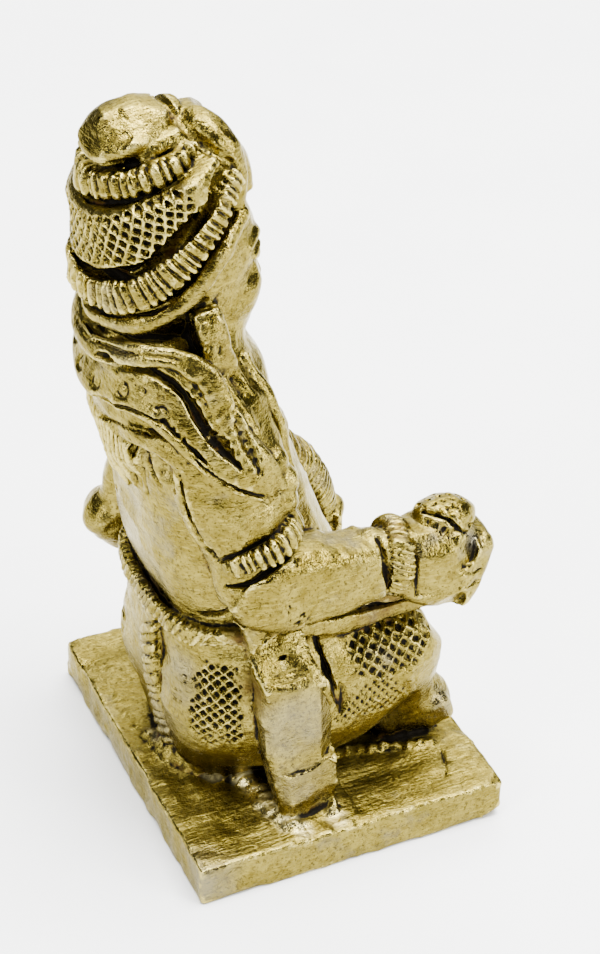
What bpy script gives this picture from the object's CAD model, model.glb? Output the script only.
import math

import bmesh
import bpy
import numpy as np
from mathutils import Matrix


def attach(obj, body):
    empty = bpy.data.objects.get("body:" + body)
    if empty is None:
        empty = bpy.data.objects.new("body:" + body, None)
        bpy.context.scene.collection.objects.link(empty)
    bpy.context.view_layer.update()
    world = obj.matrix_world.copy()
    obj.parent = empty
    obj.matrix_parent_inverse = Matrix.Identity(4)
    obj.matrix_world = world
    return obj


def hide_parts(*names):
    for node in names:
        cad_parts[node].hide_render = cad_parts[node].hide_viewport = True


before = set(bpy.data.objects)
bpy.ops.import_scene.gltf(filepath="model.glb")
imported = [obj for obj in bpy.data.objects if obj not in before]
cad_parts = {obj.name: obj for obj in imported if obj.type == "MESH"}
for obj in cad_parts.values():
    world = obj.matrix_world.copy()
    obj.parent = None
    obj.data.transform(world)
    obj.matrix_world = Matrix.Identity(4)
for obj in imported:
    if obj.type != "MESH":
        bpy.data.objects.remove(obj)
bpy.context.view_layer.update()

import openvdb
from mathutils import Euler, Matrix, Vector

# The statue is modelled like clay: forms are added, cut and pressed in a block of signed distances,
# and the finished block becomes one mesh. Everything up to the mesh is in millimetres.

GRID_STEP = 0.13
FAR = 3.0
REACH = 1.1
RIGHT, LEFT = -1, 1
BLOCK_LOW, BLOCK_HIGH = (-15.9, -13.9, -0.6), (15.9, 16.6, 61.0)
TRIANGLES = 192000


# Small helpers

def between(a, b, share, offset=(0, 0, 0)):
    """A point part of the way from a to b, moved by an offset."""
    return tuple(p + (q - p) * share + o for p, q, o in zip(a, b, offset))


def mirror(points):
    return [(-p[0],) + tuple(p[1:]) for p in points]


def smooth_path(rows, steps, closed=False):
    """An even Catmull-Rom path through rows of numbers; the first three of each row are its place."""
    rows = np.array(rows, float)
    count = len(rows)
    if closed:
        ring = np.vstack([rows[-1:], rows, rows[:2]])
    else:
        ring = np.vstack([2 * rows[:1] - rows[1:2], rows, 2 * rows[-1:] - rows[-2:-1]])
    fine = []
    for i in range(count if closed else count - 1):
        p0, p1, p2, p3 = ring[i:i + 4]
        gaps = [max(np.linalg.norm((q - p)[:3]), 1e-6) ** 0.5 for p, q in ((p0, p1), (p1, p2), (p2, p3))]
        leave = (p1 - p0) / gaps[0] - (p2 - p0) / (gaps[0] + gaps[1]) + (p2 - p1) / gaps[1]
        arrive = (p2 - p1) / gaps[1] - (p3 - p1) / (gaps[1] + gaps[2]) + (p3 - p2) / gaps[2]
        leave, arrive = leave * gaps[1], arrive * gaps[1]
        for t in np.arange(16) / 16:
            fine.append((2 * t ** 3 - 3 * t ** 2 + 1) * p1 + (t ** 3 - 2 * t ** 2 + t) * leave
                        + (3 * t ** 2 - 2 * t ** 3) * p2 + (t ** 3 - t ** 2) * arrive)
    fine.append(rows[0] if closed else rows[-1])
    fine = np.array(fine)
    length = np.concatenate([[0], np.cumsum(np.linalg.norm(np.diff(fine[:, :3], axis=0), axis=1))])
    even = np.linspace(0, length[-1], steps + 1)
    return np.stack([np.interp(even, length, column) for column in fine.T], axis=1), even


def facing(towards):
    """A bar's height points towards a fixed direction, or away from a point or an axis."""
    return lambda places: np.tile(np.array(towards, float), (len(places), 1))


def away_from(x, y, lift=0.0, level=0.0):
    return lambda places: np.stack([places[:, 0] - x, places[:, 1] - y, lift * (places[:, 2] - level)], axis=1)


class Clay:
    """A block of signed distances that forms are added to and cut from."""

    def __init__(self, low, high, step):
        self.low = np.array(low, float)
        self.step = step
        self.count = np.ceil((np.array(high) - self.low) / step).astype(int) + 1
        self.axes = [(self.low[i] + step * np.arange(self.count[i])).astype(np.float32) for i in range(3)]
        self.field = np.full(self.count, FAR, np.float32)

    def window(self, low, high):
        spans = []
        for i in range(3):
            first = int(np.clip((low[i] - self.low[i]) // self.step, 0, self.count[i] - 1))
            last = int(np.clip((high[i] - self.low[i]) // self.step + 2, first + 1, self.count[i]))
            spans.append(slice(first, last))
        x, y, z = (self.axes[i][spans[i]] for i in range(3))
        return tuple(spans), x[:, None, None], y[None, :, None], z[None, None, :]

    # forms

    def egg(self, centre, radii, turn=(0, 0, 0)):
        """An ellipsoid turned by Euler angles in degrees."""
        reach = max(radii) + REACH
        spans, x, y, z = self.window([c - reach for c in centre], [c + reach for c in centre])
        turned = Euler([math.radians(a) for a in turn]).to_matrix().transposed()
        x, y, z = x - centre[0], y - centre[1], z - centre[2]
        near = far = 0
        for row, radius in zip(turned, radii):
            along = row[0] * x + row[1] * y + row[2] * z
            near = near + (along / radius) ** 2
            far = far + (along / radius ** 2) ** 2
        near = np.sqrt(near)
        return spans, (near * (near - 1) / np.sqrt(far + 1e-9)).astype(np.float32)

    def box(self, low, high, edge=0.3):
        """A box with rounded edges."""
        spans, x, y, z = self.window([c - REACH for c in low], [c + REACH for c in high])
        gaps = []
        for axis, a, b in zip((x, y, z), low, high):
            gaps.append(np.abs(axis - (a + b) / 2) - (b - a) / 2 + edge)
        outside = np.sqrt(sum(np.maximum(g, 0) ** 2 for g in gaps))
        inside = np.minimum(np.maximum(np.maximum(gaps[0], gaps[1]), gaps[2]), 0)
        return spans, (outside + inside - edge).astype(np.float32)

    def loft(self, slices):
        """A body through level slices of height, half width, back and front, nearly oval in plan."""
        path, _ = smooth_path(slices, 60)
        levels, halves, backs, fronts = path.T
        spans, x, y, z = self.window(
            (-halves.max() - REACH, fronts.min() - REACH, levels[0] - REACH),
            (halves.max() + REACH, backs.max() + REACH, levels[-1] + 1.5))
        flat = z.ravel()
        half = np.interp(flat, levels, halves)[None, None, :].astype(np.float32)
        back = np.interp(flat, levels, backs)[None, None, :].astype(np.float32)
        front = np.interp(flat, levels, fronts)[None, None, :].astype(np.float32)
        centre, reach = (back + front) / 2, (back - front) / 2
        u, v = np.abs(x / half), np.abs((y - centre) / reach)
        q = u ** 3 + v ** 3 + 1e-6
        out = (q - np.cbrt(q) ** 2) / np.sqrt((u * u / half) ** 2 + (v * v / reach) ** 2 + 1e-9)
        out = np.maximum(out, np.maximum(z - levels[-1], levels[0] - z))
        return spans, out.astype(np.float32)

    def bar(self, stations, up, steps=24, power=2, closed=False, relief=None, end=0.7):
        """A bar through stations of (place, half width, half height), its height turned by up(places).

        relief(along, across, over) gives how far its surface stands proud there, in millimetres.
        With up "surface" the bar is laid on what stands there already.
        """
        path, arc = smooth_path([tuple(p) + (w, h) for p, w, h in stations], steps, closed)
        places, halves = path[:, :3], path[:, 3:]
        if closed:
            tangents = np.roll(places[:-1], -1, axis=0) - np.roll(places[:-1], 1, axis=0)
            tangents = np.vstack([tangents, tangents[:1]])
        else:
            tangents = np.gradient(places, axis=0)
        tangents /= np.linalg.norm(tangents, axis=1, keepdims=True)
        if up == "surface":
            for _ in range(2):
                places = self.settle(places)
                moved = places - path[:, :3]
                for _ in range(4):
                    moved[1:-1] = (moved[:-2] + 2 * moved[1:-1] + moved[2:]) / 4
                places = path[:, :3] + moved
            ups = self.outward(places)
            for _ in range(4):
                ups[1:-1] = (ups[:-2] + 2 * ups[1:-1] + ups[2:]) / 4
        else:
            ups = up(places)
        ups = ups - tangents * (ups * tangents).sum(1, keepdims=True)
        ups /= np.linalg.norm(ups, axis=1, keepdims=True)
        sides = np.cross(tangents, ups)
        reach = halves.max() + REACH
        spans, *_ = self.window(places.min(0) - reach, places.max(0) + reach)
        out = np.full([s.stop - s.start for s in spans], FAR, np.float32)
        spots = np.zeros([3] + list(out.shape), np.float32) if relief is not None else None
        best = np.full(out.shape, FAR, np.float32)
        for i in range(steps):
            p, q = places[i], places[i + 1]
            near = halves[i:i + 2].max() + REACH
            inner, x, y, z = self.window(np.minimum(p, q) - near, np.maximum(p, q) + near)
            run = q - p
            span = np.linalg.norm(run)
            x, y, z = x - np.float32(p[0]), y - np.float32(p[1]), z - np.float32(p[2])
            # the share of the way from one station's plane to the next one's, which is even round bends
            ahead = x * tangents[i][0] + y * tangents[i][1] + z * tangents[i][2]
            left = run @ tangents[i + 1] - (x * tangents[i + 1][0] + y * tangents[i + 1][1] + z * tangents[i + 1][2])
            t = np.clip(ahead / np.maximum(ahead + left, 0.2 * span), 0, 1).astype(np.float32)
            x, y, z = x - t * run[0], y - t * run[1], z - t * run[2]
            blend = lambda vectors: sum(
                axis * (vectors[i][k] + t * (vectors[i + 1][k] - vectors[i][k])) for k, axis in enumerate((x, y, z)))
            across, over = blend(sides), blend(ups)
            past = (x * run[0] + y * run[1] + z * run[2]) / span * ((t <= 0) | (t >= 1))
            wide = halves[i][0] + t * (halves[i + 1][0] - halves[i][0])
            high = halves[i][1] + t * (halves[i + 1][1] - halves[i][1])
            cap = np.minimum(wide, high) * end + 0.02
            q = top = 0
            for value, size in ((across, wide), (over, high), (past, cap)):
                share = (value / size) ** 2
                whole = share
                for _ in range(int(math.log2(power)) - 1):
                    whole = whole * whole
                q = q + whole
                top = top + whole * whole / (share + 1e-9) / size ** 2
            near = ((q - q ** (1 - 1 / power)) / np.sqrt(top + 1e-9)).astype(np.float32)
            place = tuple(slice(a.start - b.start, a.stop - b.start) for a, b in zip(inner, spans))
            if relief is not None:
                # a place belongs to the stretch it lies beside, not to a slightly thicker one further on
                score = near + 2 * np.abs(past)
                closer = score < best[place]
                best[place][closer] = score[closer]
                for store, value in zip(spots, (arc[i] + t * (arc[i + 1] - arc[i]), across, over)):
                    store[place][closer] = value[closer]
            out[place] = np.minimum(out[place], near)
        if relief is not None:
            out -= relief(*spots).astype(np.float32)
        return spans, out

    # changes

    def add(self, form, blend=0.3):
        spans, form = form
        here = self.field[spans]
        overlap = np.maximum(blend - np.abs(here - form), 0) / blend
        self.field[spans] = np.minimum(here, form) - overlap ** 2 * (blend / 4)

    def cut(self, form, blend=0.15):
        spans, form = form
        here = self.field[spans]
        overlap = np.maximum(blend - np.abs(here + form), 0) / blend
        self.field[spans] = np.maximum(here, -form) + overlap ** 2 * (blend / 4)

    def press(self, low, high, depth):
        """Pushes the surface in by depth(x, y, z) inside a box."""
        spans, x, y, z = self.window(low, high)
        self.field[spans] += depth(x, y, z).astype(np.float32)

    def groove(self, points, width, depth, steps=24):
        """A cut line along the surface, narrower at its ends."""
        last = len(points) - 1
        sizes = [0.45 if n in (0, last) else 1.0 for n in range(last + 1)]
        self.cut(self.bar([(p, width / 2 * k, depth * k) for p, k in zip(points, sizes)], "surface", steps), 0.08)

    def ridge(self, points, width, height, steps=24, relief=None):
        """A raised line along the surface, narrower at its ends."""
        last = len(points) - 1
        sizes = [0.6 if n in (0, last) else 1.0 for n in range(last + 1)]
        self.add(self.bar([(p, width / 2 * k, height * k) for p, k in zip(points, sizes)], "surface", steps,
                          relief=relief), 0.15)

    def settle(self, places):
        """Moves places that are near the surface onto it."""
        places = np.array(places, float)
        for _ in range(8):
            away = np.clip(self.sample(places, self.field), -0.4, 0.4)
            places = places - self.outward(places) * away[:, None]
        return places

    def outward(self, places):
        reach = 0.3
        slope = np.stack([self.sample(places + reach * axis, self.field) - self.sample(places - reach * axis, self.field)
                          for axis in np.eye(3)], axis=1)
        return slope / (np.linalg.norm(slope, axis=1, keepdims=True) + 1e-6)

    def patch(self, centre, towards, size, pattern, thick=1.3, soft=0.4):
        """Presses pattern(u, v) into the surface round a place, with u running towards a direction.

        The pattern fades out at the patch's edges; size is its half width along u and across it.
        """
        centre = self.settle([centre])[0]
        out = self.outward(centre[None])[0]
        first = np.array(towards, float)
        first -= out * (first @ out)
        first /= np.linalg.norm(first)
        second = np.cross(out, first)
        reach = max(size) + 0.4
        spans, x, y, z = self.window(centre - reach, centre + reach)
        x, y, z = x - centre[0], y - centre[1], z - centre[2]
        u, v, w = (axis[0] * x + axis[1] * y + axis[2] * z for axis in (first, second, out))
        worn = 0.12 * min(size) * (np.sin(1.7 * u + 0.8 * v) + np.sin(2.9 * v - 1.3 * u))
        edge = 1 - (np.abs(u) / size[0]) ** 4 - (np.abs(v) / size[1]) ** 4
        fade = np.clip((edge + worn) / soft, 0, 1)
        fade = fade * np.clip((thick - np.abs(w)) / 0.3, 0, 1)
        self.field[spans] += (pattern(u, v) * fade).astype(np.float32)

    def facet(self, place, normal, reach):
        """Files a flat spot: takes off what stands beyond a plane, within reach of a place."""
        normal = np.array(normal, float) / np.linalg.norm(normal)
        spans, x, y, z = self.window([c - reach for c in place], [c + reach for c in place])
        x, y, z = x - place[0], y - place[1], z - place[2]
        beyond = np.minimum(normal[0] * x + normal[1] * y + normal[2] * z,
                            reach - np.sqrt(x * x + y * y + z * z))
        self.field[spans] = np.maximum(self.field[spans], beyond.astype(np.float32))

    def noise(self, size, seed):
        """A smooth random value for every place in the block, with bumps of about the given size."""
        rng = np.random.default_rng(seed)
        cells = [int(math.ceil((b - a) / size)) + 3 for a, b in zip(BLOCK_LOW, BLOCK_HIGH)]
        out = rng.standard_normal(cells).astype(np.float32)
        for axis in range(3):
            spot = np.arange(self.count[axis]) * self.step / size
            cell = spot.astype(int)
            share = (spot - cell).astype(np.float32)
            share = share * share * (3 - 2 * share)
            share = share.reshape([-1 if k == axis else 1 for k in range(3)])
            out = np.take(out, cell, axis) * (1 - share) + np.take(out, cell + 1, axis) * share
        return out

    def sample(self, points, block):
        """The value of a block at any points, in millimetres."""
        spot = (points - self.low) / self.step
        cell = np.clip(np.floor(spot).astype(int), 0, self.count - 2)
        share = np.clip(spot - cell, 0, 1)
        total = 0
        for corner in np.ndindex(2, 2, 2):
            weight = np.prod(np.where(corner, share, 1 - share), axis=1)
            total = total + weight * block[tuple((cell + corner).T)]
        return total


# Reliefs for bars: how far the surface stands proud

def uneven(along, amount=0.12):
    """Spacing of hand-cut marks: never quite even."""
    return along + amount * np.sin(2.3 * along + 0.5) + amount * 0.6 * np.sin(5.1 * along)


def ribs(pitch, depth, width=0.3, lean=0.0, start=0.0, stop=1e9):
    """Cut lines across a bar, each width wide, leaning by lean per millimetre across."""
    def relief(along, across, over):
        spot = uneven(along + lean * across) / pitch
        gap = (spot - np.floor(spot) - 0.5) * pitch
        mask = (along > start) & (along < stop) & (over > -0.1)
        return -depth * np.clip(1.3 - np.abs(gap) * 2.2 / width, 0, 1) * mask
    return relief


def diamond_pits(u, v, wide, tall, depth, share=0.36):
    """Punched pits in a diamond lattice."""
    first, second = u / wide + v / tall, u / wide - v / tall
    off = np.maximum(np.abs(first - np.round(first)), np.abs(second - np.round(second)))
    return depth * np.clip((share - off) / 0.16, 0, 1)


def stamped_ring(u, v, radius, depth, width=0.16, open_at=None):
    """A punched circle, open on one side where the punch was tilted."""
    reach = np.sqrt(u * u + v * v)
    mark = depth * np.exp(-((reach - radius) / width) ** 2)
    if open_at is not None:
        mark = mark * (np.cos(np.arctan2(v, u) - open_at) < 0.55)
    return mark


clay = Clay(BLOCK_LOW, BLOCK_HIGH, GRID_STEP)

# Hips, belly and chest

BODY_SLICES = [
    (2.6, 5.8, 9.2, -3.0), (5.5, 7.8, 10.2, -4.6), (10, 9.6, 10.8, -5.4), (15, 9.6, 11.0, -5.4),
    (18.6, 8.4, 10.6, -4.2), (25, 8.2, 11.9, -2.2), (30, 8.0, 12.3, -0.3), (34, 7.8, 12.9, 1.2),
    (39, 6.8, 13.7, 3.0), (43.5, 4.4, 13.6, 4.6),
]
clay.add(clay.loft(BODY_SLICES))
for side in (RIGHT, LEFT):
    clay.add(clay.egg((side * 4.6, 5.0, 11.2), (5.1, 6.2, 6.2)), 1.0)
clay.add(clay.egg((0, 2.4, 18.4), (7.2, 6.9, 6.4)), 1.0)
clay.cut(clay.egg((0, -4.7, 19.2), (0.55, 0.9, 0.5)), 0.4)
for side in (RIGHT, LEFT):
    clay.add(clay.egg((side * 3.3, 4.1, 34.0), (3.2, 2.9, 2.7), (12, 0, 0)), 0.8)
    clay.add(clay.egg((side * 3.4, 1.3, 33.2), (0.4, 0.4, 0.4)), 0.3)

# Legs

RIGHT_LEG = dict(hip=(-6.2, 4, 10.9), knee=(-7.5, -8.3, 13.6), heel=(-5.9, -7.6, 5.2))
LEFT_LEG = dict(hip=(5.0, 5, 9.6), knee=(10.8, -6.0, 7.2), heel=(2.8, -9.1, 5.3), toes=(-3.2, -9.4, 4.5))


def toes(middle, across, forward, reach, radius):
    for n in range(5):
        place = (n - 2) * radius * 2.05
        root = between(middle, middle, 0, (across[0] * place, across[1] * place, 0.8))
        knuckle = between(root, root, 0, (forward[0] * reach * 0.6, forward[1] * reach * 0.6, 0.15))
        tip = between(root, root, 0, (forward[0] * reach, forward[1] * reach, -1.1))
        size = radius * (1.25 if n == 4 else 1.0)
        clay.add(clay.bar([(root, size, size * 1.2), (knuckle, size, size * 1.2), (tip, size * 0.95, size * 1.1)],
                          facing((forward[0], forward[1], 1)), 8), 0.12)


def raised_leg(hip, knee, heel):
    clay.add(clay.bar([
        (hip, 4.3, 6.2),
        (between(hip, knee, 0.33, (0, 0, -0.9)), 3.9, 6.1),
        (between(hip, knee, 0.66, (0, 0, -0.7)), 3.4, 5.1),
        (between(hip, knee, 0.88, (0, 0, -0.1)), 2.9, 3.9),
        (knee, 2.4, 3.0),
    ], facing((0, 0, 1)), 16), 0.5)
    clay.add(clay.bar([(between(knee, heel, 0.1), 2.3, 2.3), (between(knee, heel, 0.9), 1.8, 2.2)],
                      facing((0, -1, 0)), 8), 0.6)
    clay.add(clay.bar([
        (between(heel, heel, 0, (0, 1, 0.2)), 1.7, 2.0),
        (between(heel, heel, 0, (0, -1.2, 1.2)), 2.1, 2.9),
        (between(heel, heel, 0, (0, -3, 0.3)), 2.3, 2.0),
    ], facing((0, 0, 1)), 10), 0.4)
    toes((-5.7, -10.0, 5.6), (-1, 0), (0, -1), 1.3, 0.48)


def folded_leg(hip, knee, heel, toes_at):
    clay.add(clay.bar([
        (hip, 4.2, 6.0),
        (between(hip, knee, 0.4, (0.6, 0, 0.2)), 4.0, 5.2),
        (between(hip, knee, 0.8, (0.5, 0, 0.2)), 3.2, 4.2),
        (knee, 2.6, 3.4),
    ], facing((0, 0, 1)), 16), 0.5)
    clay.add(clay.bar([
        (between(knee, heel, 0, (-0.2, -0.6, -0.8)), 2.4, 2.9),
        (between(knee, heel, 0.5, (0, -0.8, 0)), 2.3, 2.6),
        (heel, 1.9, 2.1),
    ], facing((0, 0, 1)), 12), 0.5)
    clay.add(clay.bar([(heel, 1.7, 1.9), (between(heel, toes_at, 0.8), 1.6, 1.3)], facing((0, 0, 1)), 8), 0.5)
    toes(between(toes_at, toes_at, 0, (1, 0, -0.3)), (0, 1), (-1, 0), 1.4, 0.34)


raised_leg(**RIGHT_LEG)
folded_leg(LEFT_LEG["hip"], LEFT_LEG["knee"], LEFT_LEG["heel"], LEFT_LEG["toes"])
for n in range(-3, 4):
    clay.add(clay.bar([
        ((0.5 + 0.95 * n, -4.6, 15.6), 0.55, 0.6),
        ((0.6 + 1.15 * n, -6.4, 9.6), 0.65, 0.7),
        ((0.6 + 1.3 * n, -7.2 - 0.3 * (n % 2), 3.2), 0.75, 0.8),
    ], facing((0, -1, 0.3)), 14, 4), 0.15)

# Belt and seam

BELT = dict(height=19.3, half=8.8, centre_y=2.9, reach=8.1, front_dip=3)


def belt_spot(degrees, extra):
    angle = math.radians(degrees)
    c, s = math.cos(angle), math.sin(angle)
    c = math.copysign(abs(c) ** (2 / 2.9), c)
    s_ = math.copysign(abs(s) ** (2 / 2.9), s)
    return ((BELT["half"] + extra) * c, BELT["centre_y"] + (BELT["reach"] + extra) * s_,
            BELT["height"] + min(0, s) * BELT["front_dip"])


from_belt = away_from(0, BELT["centre_y"])
clay.add(clay.bar([(belt_spot(d, 0.2), 0.85, 0.6) for d in range(30, 151, 15)], from_belt, 40, 4,
                  relief=ribs(0.62, 0.22, 0.26, 0.45)), 0.1)
clay.add(clay.bar([(belt_spot(d, 0.1), 0.8, 0.6) for d in range(150, 391, 20)], from_belt, 40, 4), 0.1)

SEAM = [(-0.8, 10.8, 18), (-1.2, 11.0, 12.5), (-1.2, 9.8, 4.6)]
clay.add(clay.bar([(p, 1.15, 0.6) for p in SEAM], facing((-0.1, 1, 0.15)), 24, 4,
                  relief=ribs(0.95, 0.26, 0.3, -0.6)), 0.15)
for side in (RIGHT, LEFT):
    clay.groove([(side * 1.4 - 0.9, 10.9, 17.6), (side * 1.4 - 1.2, 11.0, 12.5), (side * 1.4 - 1.2, 9.8, 5.5)], 0.4, 0.45)

# Right arm

RIGHT_ARM = dict(shoulder=(-5.8, 7.6, 38), elbow=(-9.6, 6.4, 25), wrist=(-9.8, -3.3, 24.9), fist=(-9.5, -8.8, 23.1))


def round_limb(centre, axis, radii, wide, high, relief, power=4):
    """A band round a limb, in the plane across its axis."""
    line = Vector(axis).normalized()
    steady = Vector((0, 1, 0)) if abs(line.z) > 0.7 else Vector((0, 0, 1))
    first = line.cross(steady).normalized()
    second = line.cross(first)
    middle = Vector(centre)
    stations = []
    for k in range(12):
        angle = 2 * math.pi * k / 12
        place = middle + first * radii[0] * math.cos(angle) + second * radii[1] * math.sin(angle)
        stations.append((tuple(place), wide, high))
    return clay.bar(stations, lambda places: places - np.array(centre), 48, power, True, relief)


def right_arm(shoulder, elbow, wrist, fist):
    clay.add(clay.bar([
        (shoulder, 2.4, 3.8),
        (between(shoulder, elbow, 0.25, (-0.8, 0.2, 0)), 2.4, 4.3),
        (between(shoulder, elbow, 0.5, (-0.7, 0, 0)), 2.5, 4.0),
        (between(shoulder, elbow, 0.75, (-0.2, -0.2, 0)), 2.4, 3.1),
        (elbow, 2.3, 2.8),
    ], facing((0, 1, 0)), 16), 0.3)
    clay.add(clay.bar([
        (between(elbow, elbow, 0, (-0.1, 1.2, 0.6)), 2.2, 1.7),
        (between(elbow, elbow, 0, (-0.2, -0.4, -0.2)), 2.4, 2.9),
        (between(elbow, wrist, 0.32, (-0.1, 0, -0.6)), 2.4, 3.4),
        (between(elbow, wrist, 0.66, (0, 0, -0.7)), 2.4, 2.9),
        (between(elbow, wrist, 1.0, (0, 0, -0.6)), 2.3, 2.3),
    ], facing((0, 0, 1)), 20, 4, end=0.25), 0.15)
    clay.add(clay.bar([(between(wrist, fist, -0.1), 1.8, 2.2), (between(wrist, fist, 0.65), 1.9, 2.4)],
                      facing((0, 0, 1)), 8), 0.2)
    clay.add(round_limb((-8.8, 5.9, 28.6), (0.1, 0.36, 1), (2.6, 2.95), 1.0, 0.8, ribs(0.58, 0.36, 0.27)), 0.08)
    clay.add(round_limb(between(wrist, fist, 0.26), (0, 1, 0.1), (2.1, 2.45), 1.05, 0.75,
                        ribs(0.46, 0.2, 0.26, 0.3), 2), 0.08)
    # cloth bunched under the forearm, down to the thigh
    clay.add(clay.bar([
        ((wrist[0] + 2.4, wrist[1] + 4, wrist[2] - 6), 1.6, 2.0),
        ((wrist[0] + 2.4, wrist[1] - 5.2, wrist[2] - 6.2), 1.2, 1.5),
    ], facing((0, 0, 1)), 8, 4), 0.25)


def fingers(top, step, corners, radius):
    for n in range(4):
        stations = [((top[0] + x, top[1] + y, top[2] - step * n), radius, step * 0.5) for x, y in corners]
        clay.add(clay.bar(stations, facing((0, 0, 1)), 12), 0.12)


def right_fist(fist):
    clay.add(clay.bar([
        (between(fist, fist, 0, (-0.2, 2.8, 1)), 2.3, 2.5),
        (between(fist, fist, 0, (-0.1, 0.8, 0)), 2.6, 3.4),
        (between(fist, fist, 0, (0, -1.9, -0.8)), 2.2, 3.1),
    ], facing((0, 0, 1)), 12, 4), 0.2)
    clay.add(clay.egg((-9.2, -9.3, 26.2), (2.1, 2.5, 1.9), (8, 0, 0)), 0.1)
    fingers((fist[0], fist[1], fist[2] + 0.9), 1.3, [(-2.0, -0.6), (-0.9, -2.1), (1.6, -1.9)], 0.85)
    clay.add(clay.egg(between(fist, fist, 0, (-0.6, -0.6, -0.6)), (2.1, 2.6, 2.6)), 0.15)
    clay.add(clay.egg(between(fist, fist, 0, (-0.9, 0.1, -2.0)), (1.9, 2.3, 1.6)), 0.2)
    clay.add(clay.egg(between(fist, fist, 0, (-1.4, -1.5, 1.3)), (1.1, 1.4, 1.5)), 0.1)
    clay.add(clay.bar([
        (between(fist, fist, 0, (-1.1, 1.2, 2.3)), 1.0, 1.1),
        (between(fist, fist, 0, (-1.3, -0.9, 1.9)), 1.2, 1.3),
        (between(fist, fist, 0, (-0.9, -2.3, 1.3)), 1.1, 1.2),
    ], facing((-1, 0, 0.4)), 10), 0.1)


right_arm(**RIGHT_ARM)
right_fist(RIGHT_ARM["fist"])

# Left arm and purse

LEFT_ARM = dict(shoulder=(5.8, 7.2, 38), elbow=(11.7, 8.8, 18.4), wrist=(9.2, -3.2, 15.2), fist=(7.0, -6.2, 15.6))


def left_arm(shoulder, elbow, wrist, fist):
    clay.add(clay.bar([
        (shoulder, 2.6, 3.6),
        (between(shoulder, elbow, 0.2, (1.3, -0.9, 0)), 2.8, 3.7),
        (between(shoulder, elbow, 0.5, (1, -2.2, 0)), 2.6, 3.1),
        (between(shoulder, elbow, 0.95, (0, -0.6, 0)), 2.1, 2.5),
    ], facing((0, 1, 0)), 16), 0.4)
    clay.add(clay.bar([
        (between(elbow, elbow, 0, (0.1, 1.2, 0.2)), 2.0, 2.2),
        (between(elbow, elbow, 0, (0.1, -1.2, -1.2)), 2.2, 3.3),
        (between(elbow, wrist, 0.6, (0.4, 0, -0.4)), 2.2, 2.8),
        (wrist, 1.9, 2.2),
        (between(wrist, fist, 0.7), 1.9, 2.0),
    ], facing((0, 0, 1)), 16), 0.3)
    clay.add(round_limb(between(shoulder, elbow, 0.66, (0.8, -2, 0)), (-0.25, -0.1, 1), (2.45, 2.95), 0.95, 0.75,
                        ribs(0.72, 0.25, 0.26)), 0.1)
    clay.add(round_limb(wrist, (0.5, 1, 0), (1.9, 2.05), 0.9, 0.65, ribs(0.5, 0.18, 0.22)), 0.1)


def left_fist_and_purse(fist):
    clay.add(clay.egg(fist, (2.1, 2.1, 2.5), (0, 0, 20)), 0.2)
    fingers((fist[0], fist[1], fist[2] + 1.4), 1.05, [(1.6, -0.6), (0.3, -2.0), (-1.8, -1.2)], 0.55)
    clay.add(clay.bar([
        ((3.0, 1.0, 28.5), 1.5, 1.0),
        ((4.4, -2.2, 25.5), 2.1, 1.6),
        ((5.5, -4.7, 21.7), 2.2, 1.75),
        ((6.2, -6.3, 18.5), 1.6, 1.4),
        ((6.8, -6.6, 12.6), 1.05, 1.05),
    ], facing((-0.3, -0.8, 0.5)), 28, 2, relief=ribs(0.6, 0.2, 0.24)), 0.12)


left_arm(**LEFT_ARM)
left_fist_and_purse(LEFT_ARM["fist"])

# The shawl's hanging end

STRAP = dict(width=5.2, top=(-10.3, 5.2, 22.4), bend=(-11.3, 3.9, 15.4), foot=(-11.9, 2.6, 2.9), thick=3.2, waist=1.7)


def hanging_end(width, top, bend, foot, thick, waist):
    wide = width / 2
    clay.add(clay.bar([
        (top, wide * 0.9, waist / 2),
        (between(top, bend, 0.52, (0.3, 0, 0)), wide * 0.88, waist / 2),
        (between(top, bend, 0.9), wide * 0.92, thick / 2),
        (between(bend, foot, 0.15), wide * 1.05, thick / 2),
        (between(bend, foot, 0.5), wide * 1.02, thick / 2),
        (foot, wide * 0.8, thick / 2),
    ], facing((-1, 0, 0)), 20, 8, end=0.2), 0.15)


hanging_end(**STRAP)

# Shawl

SHAWL_FOLDS = [
    [((-1.5, 14.3, 42.4), 0.9, 0.8), ((-4.4, 13.0, 43.3), 0.85, 0.85), ((-6.3, 10.6, 43.4), 0.8, 0.9),
     ((-7.6, 9.0, 42.2), 0.95, 0.95), ((-8.4, 8.1, 39.8), 1.05, 0.95), ((-9.2, 7.1, 37.4), 1.1, 0.95),
     ((-9.8, 5.6, 34.9), 1.2, 0.9), ((-9.9, 4.7, 33.2), 0.8, 0.7)],
    [((-1.5, 14.0, 39.6), 1.5, 0.9), ((-4.3, 13.1, 40.3), 1.55, 0.95), ((-6.3, 11.9, 40.3), 1.6, 0.95),
     ((-7.8, 10.5, 38.8), 1.6, 0.95), ((-9.0, 9.0, 36.7), 1.45, 0.9), ((-9.8, 7.2, 34.9), 1.2, 0.85),
     ((-10.0, 5.8, 33.4), 0.8, 0.7)],
    [((-1.6, 13.3, 35.9), 0.7, 0.75), ((-5.0, 12.6, 36.9), 0.75, 0.8), ((-7.5, 11.3, 36.5), 0.8, 0.8),
     ((-9.2, 9.2, 34.7), 0.7, 0.75), ((-10.0, 6.6, 32.8), 0.6, 0.6)],
    [((-2.6, 13.5, 41.8), 1.0, 0.7), ((-5.4, 12.2, 42.0), 1.0, 0.8), ((-7.0, 10.4, 41.2), 1.1, 0.85),
     ((-8.3, 9.0, 38.9), 1.1, 0.85), ((-9.4, 7.4, 36.2), 0.8, 0.7)],
]
over_shoulders = away_from(0, 7.5, 0.35, 32)


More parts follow.
